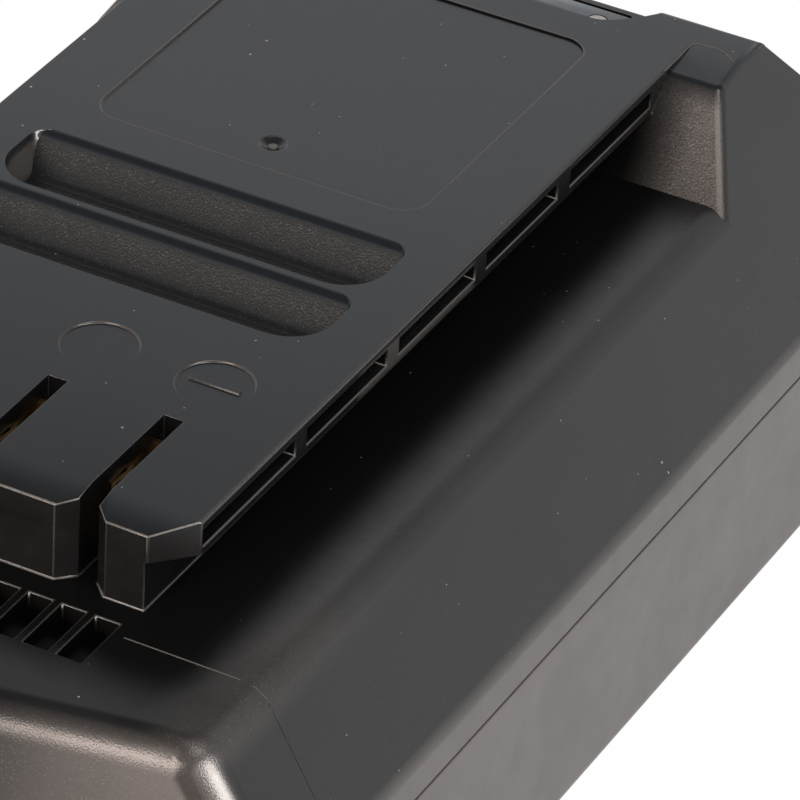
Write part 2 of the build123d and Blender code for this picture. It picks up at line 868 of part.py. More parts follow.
def sense_bar():
    """The bar from the middle contact clip to the main board."""
    x = rail_shift + slot_places[1]
    half = bar_width / 2
    end = board_front + bar_width
    flat = block(x - half, x + half, clip_back - half, end, sheet_top, bar_top)
    rise = block(x - half, x + half, end - bar_thickness, end, sheet_top, board_under)
    return flat + rise


def contact_clip(place):
    """A forked clip: two sprung arms that meet behind the slot, on a folded back."""
    x = rail_shift + place
    back = clip_back
    throat = rail_front + clip_throat_setback
    mouth = rail_front + clip_front_setback
    inner_back = clip_back_half - clip_thickness
    base = block_top + fit_gap
    clip = block(x - clip_back_half, x + clip_back_half, back - clip_thickness, back,
                 base, clip_top)
    for side in (-1, 1):
        arm = ((x + side * inner_back, back), (x + side * clip_back_half, back),
               (x + side * clip_back_half, back - clip_foot),
               (x + side * (clip_throat_half + clip_thickness), throat),
               (x + side * (clip_mouth_half + clip_thickness), mouth),
               (x + side * clip_mouth_half, mouth), (x + side * clip_throat_half, throat),
               (x + side * inner_back, back - clip_foot))
        clip += along_z(arm, deck_height, clip_top)
    foot_half = bar_width / 2
    return clip + block(x - foot_half, x + foot_half, back - clip_thickness, back,
                        bar_top, base + fit_gap)


def terminal_block():
    """The moulded plate under the deck that the clips stand in."""
    low = rail_shift + min(slot_places) - block_margin
    high = rail_shift + max(slot_places) + block_margin
    body = block(low, high, clip_back + clip_foot - block_width_along, clip_back + clip_foot,
                 bar_top + fit_gap, block_top)
    for place in slot_places:
        x = rail_shift + place
        half = bar_width / 2 + fit_gap
        body -= block(x - half, x + half, clip_back - clip_thickness - fit_gap,
                      clip_back + fit_gap, bar_top, block_top + overrun)
    return body


def circuit_board():
    """The main board, hung under the rail's ceiling on four screws."""
    body = block(rail_shift - board_half, rail_shift + board_half, board_front, board_rear,
                 board_under, board_top)
    for x, y in board_screw_places():
        body -= post(x, y, board_under - overrun, board_top + overrun, board_screw + fit_gap)
    return body


def transistor_x(index):
    """The place across of one of the power transistors."""
    return rail_shift + (index - (transistor_count - 1) / 2) * transistor_pitch


def power_transistors():
    """The row of power transistors on the main board."""
    front = board_front + transistor_setback
    half = transistor_width / 2
    return [block(transistor_x(index) - half, transistor_x(index) + half, front,
                  front + transistor_length, board_top, board_top + transistor_height)
            for index in range(transistor_count)]


def heat_spreader():
    """The aluminium bar on the power transistors."""
    front = board_front + transistor_setback
    half = transistor_width / 2 + spreader_margin
    low = board_top + transistor_height
    return block(transistor_x(0) - half, transistor_x(transistor_count - 1) + half,
                 front + spreader_margin, front + transistor_length - spreader_margin,
                 low, low + spreader_thickness)


def control_chip():
    """The control chip, behind the power transistors."""
    front = board_front + transistor_setback + transistor_length + part_spacing
    half = chip_size / 2
    return block(rail_shift - half, rail_shift + half, front, front + chip_size,
                 board_top, board_top + chip_height)


def indicator_ribbon():
    """The flat cable from the main board's rear edge to the display board."""
    start = board_rear - part_spacing
    low = board_under - ribbon_thickness
    high = display_board_top - display_board_thickness - ribbon_thickness
    near = shoulder_foot + wall
    far = display_board_middle - display_board_width / 2
    points = ((start, low), (near, low), (far, high), (far + ribbon_width / 2, high),
              (far + ribbon_width / 2, high + ribbon_thickness), (far, high + ribbon_thickness),
              (near, low + ribbon_thickness), (start, low + ribbon_thickness))
    return along_x(points, rail_shift - ribbon_width / 2, rail_shift + ribbon_width / 2)


def indicator_board():
    """The small board under the scoop that carries the lamps and the switch."""
    half = display_board_width / 2
    body = block(rail_shift - display_board_half, rail_shift + display_board_half,
                 display_board_middle - half, display_board_middle + half,
                 display_board_top - display_board_thickness, display_board_top)
    for x, y in display_screw_places():
        body -= post(x, y, display_board_top - display_board_thickness - overrun,
                     display_board_top + overrun, display_screw + fit_gap)
    return body


def indicator_lamps():
    """The charge display's small lamps."""
    half = led_size / 2
    return [block(rail_shift + place - half, rail_shift + place + half,
                  display_board_middle - half, display_board_middle + half,
                  display_board_top, display_board_top + led_height) for place in led_places]


def light_guide():
    """Clear prongs over the lamps, joined by a bar that lies under the lens."""
    top = lens_under - fit_gap
    half = guide_width / 2
    low = rail_shift + min(led_places) - guide_end
    high = rail_shift + max(led_places) + guide_end
    guide = block(low, high, display_board_middle - half, display_board_middle + half,
                  top - guide_bar_height, top)
    for place in led_places:
        prong = led_size / 2
        guide += block(rail_shift + place - prong, rail_shift + place + prong,
                       display_board_middle - prong, display_board_middle + prong,
                       display_board_top + led_height + fit_gap, top)
    return guide


def indicator_lens():
    """The smoked lens that lies in the scoop, with the button's hole."""
    lens = lens_plate(0, 0, 0, lens_under, scoop_floor)
    return lens - post(button_x, button_y, lens_under - overrun, scoop_floor + overrun,
                       button_diameter / 2 + run_gap)


def test_button():
    """The round button with its flange under the lens and the stem down to the switch."""
    head_low = lens_under - button_rest_gap
    head = post(button_x, button_y, head_low, scoop_floor, button_diameter / 2)
    head = fillet(head.faces().sort_by(Axis.Z)[-1].edges(), button_crown)
    flange = post(button_x, button_y, head_low - button_flange_height, head_low,
                  button_flange / 2)
    stem = post(button_x, button_y, plunger_top, head_low, button_stem / 2)
    return head + flange + stem


def test_switch():
    """The switch on the display board, with a well for its plunger."""
    half = switch_size / 2
    body = block(button_x - half, button_x + half, button_y - half, button_y + half,
                 display_board_top, switch_top)
    depth = plunger_depth + button_travel + fit_gap
    return body - post(button_x, button_y, switch_top - depth, switch_top + overrun,
                       plunger_diameter / 2 + run_gap)


def switch_plunger():
    """The plunger that the button's stem rests on."""
    return post(button_x, button_y, switch_top - plunger_depth, plunger_top,
                plunger_diameter / 2)


def screw(x, y, seat, head_radius, head_height, shaft_radius, length):
    """A pan-head screw that points upwards, its head hanging under the seat."""
    head = post(x, y, seat - head_height, seat, head_radius)
    reach = head_radius * drive_size_share
    half = head_radius * drive_width_share / 2
    low = seat - head_height - overrun
    deep = seat - head_height / 2
    cross = block(x - reach, x + reach, y - half, y + half, low, deep)
    cross += block(x - half, x + half, y - reach, y + reach, low, deep)
    return head - cross + post(x, y, seat, seat + length, shaft_radius)


def case_screws():
    """The four screws that hold the two halves of the case together."""
    return [screw(x, y, screw_well_depth, case_screw_head, case_screw_head_height, case_screw,
                  case_screw_length) for x, y in case_screw_places()]


def board_screws():
    """The four screws of the main board."""
    length = hollow_top - board_under - 2 * fit_gap
    return [screw(x, y, board_under, board_screw_head, board_screw_head_height, board_screw,
                  length) for x, y in board_screw_places()]


def display_screws():
    """The two screws of the display board."""
    seat = display_board_top - display_board_thickness
    return [screw(x, y, seat, display_screw_head, display_screw_head_height, display_screw,
                  pad_under - seat - 2 * fit_gap) for x, y in display_screw_places()]


def save(name, shape):
    """Writes one node; a list of solids becomes one group."""
    if isinstance(shape, list):
        shape = Compound(children=shape)
    export_step(shape, "parts/" + name + ".step")


def main():
    os.makedirs("parts", exist_ok=True)
    save("upper_housing", upper_housing())
    save("lower_housing", lower_housing())
    save("front_cell_holder", end_holder(-1))
    save("rear_cell_holder", end_holder(1))
    save("middle_cell_holder", middle_holder())
    number = 0
    for row in (0, 1):
        for layer in range(cell_layers):
            for column in range(cell_columns):
                number += 1
                save("cell_%02d" % number, cell(column, layer, row))
    for index, (first, last) in enumerate(front_groups):
        save("front_strip_%d" % (index + 1), end_strip(first, last, -1))
    for index, (first, last) in enumerate(rear_groups):
        save("rear_strip_%d" % (index + 1), end_strip(first, last, 1))
    for column in range(cell_columns):
        save("middle_link_%d" % (column + 1), middle_link(column))
    save("insulation_sheet", insulation_sheet())
    save("negative_bar", power_bar(-1))
    save("positive_bar", power_bar(1))
    save("sense_bar", sense_bar())
    save("positive_clip", contact_clip(slot_places[0]))
    save("sense_clip", contact_clip(slot_places[1]))
    save("negative_clip", contact_clip(slot_places[2]))
    save("terminal_block", terminal_block())
    save("circuit_board", circuit_board())
    save("power_transistors", power_transistors())
    save("heat_spreader", heat_spreader())
    save("control_chip", control_chip())
    save("indicator_ribbon", indicator_ribbon())
    save("indicator_board", indicator_board())
    save("indicator_lamps", indicator_lamps())
    save("light_guide", light_guide())
    save("indicator_lens", indicator_lens())
    save("test_button", test_button())
    save("test_switch", test_switch())
    save("switch_plunger", switch_plunger())
    save("case_screws", case_screws())
    save("board_screws", board_screws())
    save("display_screws", display_screws())


main()
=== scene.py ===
import math

import bmesh
import bpy
from bpy.props import FloatProperty, FloatVectorProperty, PointerProperty
from bpy.types import Operator, Panel, PropertyGroup
from mathutils import Matrix, Vector


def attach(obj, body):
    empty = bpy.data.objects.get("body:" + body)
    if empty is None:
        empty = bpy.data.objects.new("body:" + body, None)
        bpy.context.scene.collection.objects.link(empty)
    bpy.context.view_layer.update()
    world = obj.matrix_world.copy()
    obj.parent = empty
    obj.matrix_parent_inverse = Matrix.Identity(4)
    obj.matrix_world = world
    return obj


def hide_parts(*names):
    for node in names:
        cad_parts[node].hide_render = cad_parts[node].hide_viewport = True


bl_info = {
    "name": "Slide Battery Pack Dressing",
    "version": (1, 0, 0),
    "blender": (4, 5, 0),
    "location": "3D View > Sidebar > Battery",
    "description": "Gives the slide-on battery pack its moulded finish, edges and surroundings",
    "category": "Object",
}

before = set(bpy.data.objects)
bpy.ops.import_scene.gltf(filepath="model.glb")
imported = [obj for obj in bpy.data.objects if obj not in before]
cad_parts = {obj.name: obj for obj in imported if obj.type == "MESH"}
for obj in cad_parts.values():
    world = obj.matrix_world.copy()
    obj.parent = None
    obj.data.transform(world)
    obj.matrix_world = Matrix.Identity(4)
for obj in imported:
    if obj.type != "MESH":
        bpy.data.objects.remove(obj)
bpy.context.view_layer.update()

MM = 0.001

# Parting lines on the right, in millimetres: their section and the places they run through
FLASH_WIDTH = 0.14
FLASH_HEIGHT = 0.08
FLASH_RUNS = {
    "deck": ((25.3, -61.2, 47.16), (38.8, -61.2, 47.16), (40.9, -61.2, 46.87),
             (42.3, -61.2, 45.95)),
    "flank": ((42.6, -61.2, 45.5), (49.6, -61.2, 33.62)),
    "shoulder": ((28.9, 56.2, 57.6), (28.9, 63.2, 57.6), (29.3, 63.9, 57.6), (31.8, 64.2, 57.6),
                 (33.2, 63.7, 57.6), (34.8, 62.4, 57.55)),
}

# The raised pip in the panel's dimple, in millimetres
RAIL_SHIFT = -1.8                     # of the rail's middle from the case's
PIP_PLACE = (RAIL_SHIFT, 17.85, 56.83)
PIP_RADIUS = 0.62
PIP_HEIGHT = 0.36
PIP_ROUND = 0.1
PIP_SIDES = 48

# How much of the full rounding an edge gets, and where, in millimetres
EDGE_SHARE = 0.8
MARK_SHARE = 0.5                      # on the marks and the panel's rim
TROUGH_FRONT = -20.0
TROUGH_REAR = 9.5
TROUGH_HALF = 25.5
TROUGH_FLOOR = 52.5
SHALLOW = 57.2                        # edges above this height are the marks and the panel's rim
SHOULDER = 45.0                       # edges behind this place are the shoulder's
SHORT = 1.2                           # the shoulder's edges under this length stay sharp
BELT_HEIGHT = 30.4
BELT_REACH = 0.3                      # above and below the belt's height
BELT_HALF = 48.0                      # the belt lies farther out than this
BELT_LENGTH = 25.5                    # shorter edges on the belt stay sharp
BELT_ROUND = 1.3
SHARP_ANGLE = 28.0                    # in degrees, the least angle that counts as an edge
WEIGHTS = "bevel_weight_edge"

# Merging of the CAD's triangles
MERGE_REACH = 0.002                   # in millimetres
MERGE_ANGLE = 0.05                    # in degrees
UPWARD = 0.98                         # the least upward part of a flat face on top
FLAT_WEIGHT = 100

# Zones of the upper shell: each measure runs from where the zone is absent to where it is full.
# y and z are places, beside and beyond are distances from the case's and the rail's middle, all
# in millimetres; right, back and up are the parts of the surface's facing.
FRONT = (("y", -70.0, -74.0), ("back", -0.35, -0.9))
RIDGE = (("beside", 34.0, 40.0), ("z", 51.0, 48.0))
TROUGH = (("z", 57.2, 56.5), ("y", -18.5, -17.0), ("y", 9.5, 8.0), ("z", 52.8, 53.8))
BROW = (("y", 45.0, 48.0), ("y", 59.0, 57.0), ("z", 56.9, 55.0))
VENTS = (("y", -70.0, -69.0), ("y", -57.0, -58.0), ("beside", 26.0, 25.0))
ZONES = {
    "deck": (("z", 47.7, 47.3), ("beyond", 40.5, 34.5), ("y", -77.0, -64.0), ("up", 0.9, 0.98)),
    "apron": (("z", 47.7, 47.3), ("y", -50.0, -66.0), ("up", 0.9, 0.98)),
    "flange": (("z", 57.6, 57.3), ("z", 47.2, 47.6), ("beyond", 23.0, 24.0), ("y", 47.0, 45.0)),
    "slot_ends": (("back", -0.9, -0.97), ("y", -48.0, -47.0), ("z", 48.0, 48.5)),
    "windows": (("z", 54.4, 54.6), ("z", 56.9, 56.7), ("beyond", 30.6, 30.4), ("y", -51.0, -50.0),
                ("y", 57.0, 56.0), ("beyond", 26.0, 26.3)),
    "vents": (("z", 47.0, 46.9), *VENTS),
    "rail_front": (("z", 53.0, 53.5), ("y", 20.0, -50.0)),
    "rail_top": (("z", 56.5, 57.2),),
    "band": (("z", 31.5, 29.5),),
    "front": FRONT,
    "front_middle": (("beside", 34.0, 10.0), *FRONT),
    "front_cheeks": (("beside", 5.0, 40.0), *FRONT),
    "front_corner": (("right", 0.2, 0.32), ("right", 0.62, 0.5), *FRONT),
    "ridge": RIDGE,
    "ridge_front": (("y", -30.0, -66.0), ("z", 43.0, 45.5), *RIDGE),
    "trough": TROUGH,
    "trough_left": (("right", 0.3, 0.8), *TROUGH),
    "shoulder": (("back", -0.3, -0.5), ("beside", 26.0, 34.0), *BROW),
    "shoulder_hollow": (("y", 45.0, 46.0), ("y", 58.0, 57.0), ("back", -0.3, -0.6),
                        ("beside", 35.0, 28.0), ("z", 60.0, 50.0)),
    "shoulder_strip": (("right", 0.05, 0.1), ("right", 0.55, 0.4), ("back", -0.2, -0.4), *BROW),
    "shoulder_top": (("y", 50.0, 64.0), ("z", 56.8, 57.3)),
}

# How strongly each zone gets painted shade, painted light, and grain
# Painted shade: a dull black coat on the deck beside the rail, the deck's front, the flange, the
# slots' ends, the windows, the vents, the rail's front, the front's middle and corners, and the
# shoulder's hollow
PAINTED_SHADE = {"deck": 0.85, "apron": 0.35, "flange": 0.25, "slot_ends": 0.9, "windows": 0.97,
        "vents": 0.97, "rail_front": 0.3, "front_middle": 0.45, "front_corner": 0.6,
        "shoulder_hollow": 1.0}
# Painted light: the lower shell's paler colour on the front's sides, the band, the shoulder's strip
# and top, the ridge near the front, and the troughs' ends that face right
PAINTED_LIGHT = {"front_cheeks": 0.66, "band": 0.84, "shoulder_strip": 1.0, "shoulder_top": 0.35,
        "ridge_front": 0.25, "trough_left": 0.6}
COARSE = {"front": 1.2, "band": 1.0, "ridge": 0.25, "ridge_front": 1.0, "trough": 1.0,
          "shoulder": 2.5}

# The painted highlight line round the panel's recess, in millimetres
PANEL_MIDDLE = 34.7
PANEL_HALF_WIDTH = 17.55              # to the middles of the corner rounds
PANEL_HALF_LENGTH = 18.7
LIP_START = (3.5, 3.55)               # from the middles of the corner rounds
LIP_END = (3.75, 3.65)
LIP_ABOVE = (57.2, 57.3)
LIP_SHARE = 0.4

# The marks on the rail, whose edges get less of the painted highlight than the others
MARKS = (("z", 57.2, 57.4), ("y", -48.0, -46.0))

# Ranges of noise that are spread over 0 to 1
EVEN = (0.25, 0.75)
WIDE = (0.2, 0.8)
CLOSE = (0.3, 0.7)
PATCHY = (0.35, 0.75)

# Ways in which a metal's rolling marks are squeezed together
EVENLY = (1.0, 1.0, 1.0)
ACROSS = (4.0, 1.0, 1.0)
ALONG = (1.0, 4.0, 1.0)
UPRIGHT = (1.0, 1.0, 4.0)

# Rounds on the edges of the display's pieces, in millimetres
LENS_ROUND = 0.1
BUTTON_ROUND = 0.06

# Colours of the dust, the painted shade and the painted glints on the surfaces
DUST_COLOR = (0.5, 0.48, 0.45)
DUST_COVER = 0.7                      # how far a speck hides what it lies on
DUST_SPACING = 3.4                    # in millimetres, as the glints' below
# The colour of the painted shade
PAINTED_SHADE_COLOR = (0.003, 0.003, 0.003)
SPECK = (0.05, 0.03)                  # a speck's rim and core, as shares of the spacing
GLINT = (0.42, 0.2)                   # the same of a glint
GLINT_CHOICE = (0.55, 1.0)            # chance values of the points that glint, weak to strong
GLINT_SPACING = 0.27
PLASTIC_IOR = 1.5

# The photograph's camera, in the part's own axes
CAMERA_PLACE = (0.2808, -0.5121, 0.42395)
CAMERA_RIGHT = (0.87928, 0.47401, 0.04669)
CAMERA_UP = (-0.29785, 0.47071, 0.83049)
CAMERA_BACK = (0.37169, -0.74414, 0.55507)
CAMERA_LENS = 278.46
CAMERA_SENSOR = 36.0
CAMERA_NEAR = 0.05
CAMERA_FAR = 20.0

# The studio, in metres
FLOOR_SIZE = 6.0
FLOOR_DROP = 0.0002                   # under the pack's underside
AIM = (0, 0, 0.04)                    # the place that the lights face
LIGHT_DISTANCE = 0.8
LIGHTS = (                            # name, setting of its power, direction, size, colour
    ("key light", "key_power", (-0.05, -0.95, 0.27), (0.5, 0.3), (1.0, 0.84, 0.75)),
    ("side light", "side_power", (0.5, -0.25, 0.83), (0.25, 0.25), (1.0, 0.94, 0.9)),
    ("corner light", "corner_power", (0.94, -0.3, 0.15), (0.34, 0.24), (1.0, 0.92, 0.87)),
)
GLOSSY_ONLY = "corner light"          # shows in reflections and lights nothing else
WORLD_RISE = (0.62, 0.8)              # upward parts between which the surroundings get dimmer


class Value:
    """A shader socket that takes part in plain sums."""

    def __init__(self, paint, socket):
        self.paint = paint
        self.socket = socket

    def sum_with(self, operation, first, second):
        node = self.paint.add("ShaderNodeMath", {"operation": operation}, {0: first, 1: second})
        return node.out(0)

    def __add__(self, other):
        return self.sum_with("ADD", self, other)

    def __radd__(self, other):
        return self.sum_with("ADD", other, self)

    def __sub__(self, other):
        return self.sum_with("SUBTRACT", self, other)

    def __rsub__(self, other):
        return self.sum_with("SUBTRACT", other, self)

    def __mul__(self, other):
        return self.sum_with("MULTIPLY", self, other)

    def __rmul__(self, other):
        return self.sum_with("MULTIPLY", other, self)

    def __pow__(self, other):
        return self.sum_with("POWER", self, other)

    def size(self):
        """The value without its sign."""
        return self.sum_with("ABSOLUTE", self, 0.0)

    def above(self, level):
        return self.sum_with("GREATER_THAN", self, level)

    def bounded(self, low, high):
        """The value carried from low..high to 0..1, and held there."""
        node = self.paint.add("ShaderNodeMapRange", {"clamp": True},
                              {"Value": self, "From Min": low, "From Max": high})
        return node.out("Result")


class Made:
    """A node that has been added, with its outputs as values."""

    def __init__(self, paint, node):
        self.paint = paint
        self.node = node

    def out(self, key):
        return Value(self.paint, self.node.outputs[key])


class Paint:
    """A material under construction."""

    def __init__(self, name):
        self.material = bpy.data.materials.new(name)
        self.material.use_nodes = True
        self.tree = self.material.node_tree
        self.shader = self.tree.nodes["Principled BSDF"]

    def add(self, kind, options=None, inputs=None):
        """Adds a node, sets its options, then fills its sockets with numbers or links."""
        node = self.tree.nodes.new(kind)
        for key, value in (options or {}).items():
            if key == "stops":
                self.set_stops(node.color_ramp, value)
            else:
                setattr(node, key, value)
        for key, value in (inputs or {}).items():
            self.feed(node.inputs[key], value)
        return Made(self, node)

    def set_stops(self, ramp, stops):
        while len(ramp.elements) < len(stops):
            ramp.elements.new(1.0)
        for element, (place, color) in zip(ramp.elements, stops):
            element.position = place
            element.color = (*color, 1.0)

    def feed(self, socket, value):
        if isinstance(value, Value):
            self.tree.links.new(value.socket, socket)
        else:
            socket.default_value = value

    def place(self):
        """Object coordinates in millimetres."""
        coordinates = self.add("ShaderNodeTexCoord").out("Object")
        return self.add("ShaderNodeVectorMath", {"operation": "SCALE"},
                        {0: coordinates, "Scale": 1 / MM}).out("Vector")

    def facing(self):
        """The direction that the surface faces, in the piece's own axes."""
        return self.add("ShaderNodeTexCoord").out("Normal")

    def noise(self, place, grain, detail=2.0, roughness=0.5):
        """Noise whose lumps are about a grain across, in millimetres."""
        return self.add("ShaderNodeTexNoise", {},
                        {"Vector": place, "Scale": 1 / grain, "Detail": detail,
                         "Roughness": roughness}).out("Fac")

    def parts(self, vector):
        """The X, Y and Z of a vector."""
        node = self.add("ShaderNodeSeparateXYZ", {}, {"Vector": vector})
        return node.out("X"), node.out("Y"), node.out("Z")

    def largest(self, first, *others):
        """The largest of some values."""
        for other in others:
            first = first.sum_with("MAXIMUM", first, other)
        return first

    def mix(self, share, first, second):
        """A colour between two colours."""
        node = self.add("ShaderNodeMix", {"data_type": "RGBA"}, {0: share, 6: first, 7: second})
        return node.out(2)

    def bump(self, height, depth):
        """A normal from a height of 0 to 1 that stands for a depth in millimetres."""
        return self.add("ShaderNodeBump", {}, {"Height": height, "Distance": depth * MM,
                                               "Strength": 1.0}).out("Normal")

    def finish(self, **values):
        """Feeds the shader's sockets by name, with spaces written as low lines."""
        for key, value in values.items():
            self.feed(self.shader.inputs[key.replace("_", " ")], value)
        return self.material

    def paint_shade(self, share):
        """Lays painted shade, a dull black diffuse coat, over the surface where the share is high.
        """
        film = self.add("ShaderNodeBsdfDiffuse", {}, {"Color": rgb(*PAINTED_SHADE_COLOR)})
        self.blend(share, film.out("BSDF"))
        return self.material

    def blend(self, share, other):
        """Mixes another shader into the finished one."""
        node = self.add("ShaderNodeMixShader", {},
                        {0: share, 1: Value(self, self.shader.outputs["BSDF"]), 2: other})
        self.feed(self.tree.nodes["Material Output"].inputs["Surface"], node.out("Shader"))


def rgb(red, green, blue):
    return (red, green, blue, 1.0)


def smudges(paint, place, color, spread=0.18):
    """A colour with broad, faint differences, as wear and handling leave them."""
    broad = paint.noise(place, grain=14.0, detail=3.0, roughness=0.55)
    dark = rgb(*(channel * (1 - spread) for channel in color))
    light = rgb(*(channel * (1 + spread) + 0.001 for channel in color))
    return paint.mix(broad.bounded(*CLOSE), dark, light)


def scattered(paint, place, spacing):
    """Scattered points: the distance to the nearest one, and a chance value of its own."""
    cells = paint.add("ShaderNodeTexVoronoi", {"feature": "F1"},
                      {"Vector": place, "Scale": 1 / spacing, "Randomness": 1.0})
    chance = paint.add("ShaderNodeSeparateColor", {}, {"Color": cells.out("Color")}).out("Red")
    return cells.out("Distance"), chance


def dust(paint, place, share, spacing=DUST_SPACING):
    """Scattered specks of dust as a value of 0 to 1."""
    away, chance = scattered(paint, place, spacing)
    return away.bounded(*SPECK) * chance.above(1 - share)


def grained(paint, place, coarse):
    """The height of moulded grain: fine all over, coarse where the given share is high."""
    fine = paint.noise(place, grain=0.25, detail=2.0, roughness=0.6).bounded(*EVEN)
    rough = paint.noise(place, grain=0.22, detail=1.0, roughness=0.5).bounded(*CLOSE)
    return fine * 0.2 + rough * coarse


def painted_glints(paint, place):
    """Painted glints: tiny bright points in the spacing of a spark-eroded grain, as a value of 0 to
    1.
    """
    away, chance = scattered(paint, place, GLINT_SPACING)
    return away.bounded(*GLINT) * chance.bounded(*GLINT_CHOICE)


def measures(paint, place):
    """The places, distances and facings that the zones are told by."""
    x, y, z = paint.parts(place)
    right, back, up = paint.parts(paint.facing())
    return {"y": y, "z": z, "beside": x.size(), "beyond": (x - RAIL_SHIFT).size(),
            "right": right, "back": back, "up": up}


def zone(found, ramps):
    """The share of 0 to 1 in which a surface lies in a zone."""
    share = 1.0
    for measure, absent, full in ramps:
        share = found[measure].bounded(absent, full) * share
    return share


def weighed(paint, found, shares):
    """The strongest of some zones, each by its share."""
    return paint.largest(*(zone(found, ZONES[name]) * share for name, share in shares.items()))


def painted_lip_highlight(paint, found):
    """A painted highlight line round the panel's recess, a rectangle with rounded corners."""
    across = paint.largest(found["beyond"] - PANEL_HALF_WIDTH, 0.0)
    along = paint.largest((found["y"] - PANEL_MIDDLE).size() - PANEL_HALF_LENGTH, 0.0)
    away = (across * across + along * along) ** 0.5
    line = away.bounded(*LIP_START) * away.bounded(*LIP_END)
    return line * found["z"].bounded(*LIP_ABOVE) * LIP_SHARE


def upper_plastic():
    """Dark plastic: satin on the rail, grained on the front, the ridges and in the troughs, with
    dust, painted shade, painted light and painted glints.
    """
    paint = Paint("upper shell plastic")
    place = paint.place()
    found = measures(paint, place)
    coarse = weighed(paint, found, COARSE)
    # Painted light: the zones of painted light, and grainy painted light on the shoulder's front,
    # take the lower shell's paler colour
    grainy_light = paint.noise(place, grain=0.2, detail=2.0, roughness=0.6).bounded(0.3, 0.75)
    pale = paint.largest(weighed(paint, found, PAINTED_LIGHT),
                         zone(found, ZONES["shoulder"]) * (grainy_light * 0.85 + 0.1))
    wear_and_highlight = rgb(*settings().edge_highlight_color)
    tone = paint.mix(pale, smudges(paint, place, settings().upper_color),
                     smudges(paint, place, settings().lower_color))
    tone = paint.mix(zone(found, ZONES["rail_top"]), tone, rgb(*settings().top_color))
    # Painted glints, strongest where the grain is coarse
    glints = painted_glints(paint, place) * coarse * 0.6
    # The painted glints and the painted highlight line round the panel take the edges' highlight
    # colour
    tone = paint.mix(paint.largest(glints, painted_lip_highlight(paint, found)), tone, wear_and_highlight)
    specks = paint.largest(dust(paint, place, 0.3), dust(paint, place, 0.2, spacing=1.9))
    tone = paint.mix(specks * DUST_COVER, tone, rgb(*DUST_COLOR))
    cloud = paint.noise(place, grain=3.0, detail=4.0, roughness=0.6).bounded(*EVEN)
    paint.finish(Base_Color=tone, IOR=PLASTIC_IOR,
                 Roughness=cloud * 0.06 + 0.23 + coarse * 0.08 + specks * 0.3,
                 Normal=paint.bump(grained(paint, place, coarse), depth=0.015))
    # Painted shade over the zones, each by its share
    return paint.paint_shade(weighed(paint, found, PAINTED_SHADE))


def lower_plastic():
    """Dark plastic with a coarse spark-eroded grain."""
    paint = Paint("lower shell plastic")
    place = paint.place()
    specks = dust(paint, place, 0.06)
    tone = paint.mix(specks * DUST_COVER, smudges(paint, place, settings().lower_color),
                     rgb(*DUST_COLOR))
    cloud = paint.noise(place, grain=3.0, detail=4.0, roughness=0.6).bounded(*EVEN)
    return paint.finish(Base_Color=tone, Roughness=cloud * 0.08 + 0.34, IOR=PLASTIC_IOR,
                        Normal=paint.bump(grained(paint, place, 0.7), depth=0.015))


def edge_plastic():
    """The slightly paler plastic of the moulded edges, with painted highlights: brightest on edges
    facing up and forward, dimmer on those facing right, varied in patches.
    """
    paint = Paint("edge plastic")
    place = paint.place()
    wear_and_highlight = paint.noise(place, grain=0.5, detail=3.0, roughness=0.7).bounded(0.35, 0.7)
    found = measures(paint, place)
    # Painted highlight: edges facing up and forward, and less those facing right, get the full edge
    # colour; the rest keep a dull, shaded copy of it
    upward = found["up"].bounded(0.1, 0.5)
    forward = found["back"].bounded(0.0, -0.5) * upward * (1 - zone(found, MARKS) * 0.6)
    sideways = found["right"].bounded(0.1, 0.6) * upward
    dull = rgb(*(channel * 0.12 for channel in settings().edge_highlight_color))
    bright = paint.largest(forward, sideways * 0.35)
    tone = paint.mix(bright * (wear_and_highlight * 0.5 + 0.5), dull, rgb(*settings().edge_highlight_color))
    return paint.finish(Base_Color=tone, Roughness=wear_and_highlight * 0.1 + 0.25)


def plain_plastic(name, color, roughness=0.45, grain=0.5, depth=0.012):
    """Moulded plastic with a light grain, faint flow marks and a trace of dust."""
    paint = Paint(name)
    place = paint.place()
    specks = dust(paint, place, 0.05)
    tone = paint.mix(specks * 0.6, smudges(paint, place, color), rgb(*DUST_COLOR))
    cloud = paint.noise(place, grain=4.0, detail=3.0).bounded(*EVEN)
    height = paint.noise(place, grain=grain, detail=3.0, roughness=0.6).bounded(*EVEN)
    return paint.finish(Base_Color=tone, Roughness=cloud * 0.1 + roughness - 0.05,
                        Normal=paint.bump(height, depth=depth))


def worn_metal(name, color, roughness, stretch=EVENLY, tarnish=0.25):
    """Metal with fine rolling marks along its length, and tarnish in soft patches."""
    paint = Paint(name)
    place = paint.place()
    drawn = paint.add("ShaderNodeVectorMath", {"operation": "MULTIPLY"},
                      {0: place, 1: stretch}).out("Vector")
    marks = paint.noise(drawn, grain=0.4, detail=4.0, roughness=0.65).bounded(*WIDE)
    patches = paint.noise(place, grain=5.0, detail=4.0, roughness=0.6).bounded(*PATCHY)
    dull = rgb(*(channel * (1 - tarnish) for channel in color))
    tone = paint.mix(patches, rgb(*color), dull)
    return paint.finish(Base_Color=tone, Metallic=1.0,
                        Roughness=marks * 0.12 + patches * 0.1 + roughness,
                        Normal=paint.bump(marks, depth=0.004))


def cell_sleeve():
    """Shrink sleeve on a cell, with faint wrinkles."""
    paint = Paint("cell sleeve")
    place = paint.place()
    wrinkles = paint.add("ShaderNodeTexWave", {"wave_type": "BANDS", "bands_direction": "DIAGONAL"},
                         {"Vector": place, "Scale": 0.35, "Distortion": 6.0,
                          "Detail": 2.0}).out("Fac")
    tone = smudges(paint, place, settings().sleeve_color, 0.15)
    return paint.finish(Base_Color=tone, Roughness=wrinkles * 0.08 + 0.3,
                        Normal=paint.bump(wrinkles, depth=0.03))


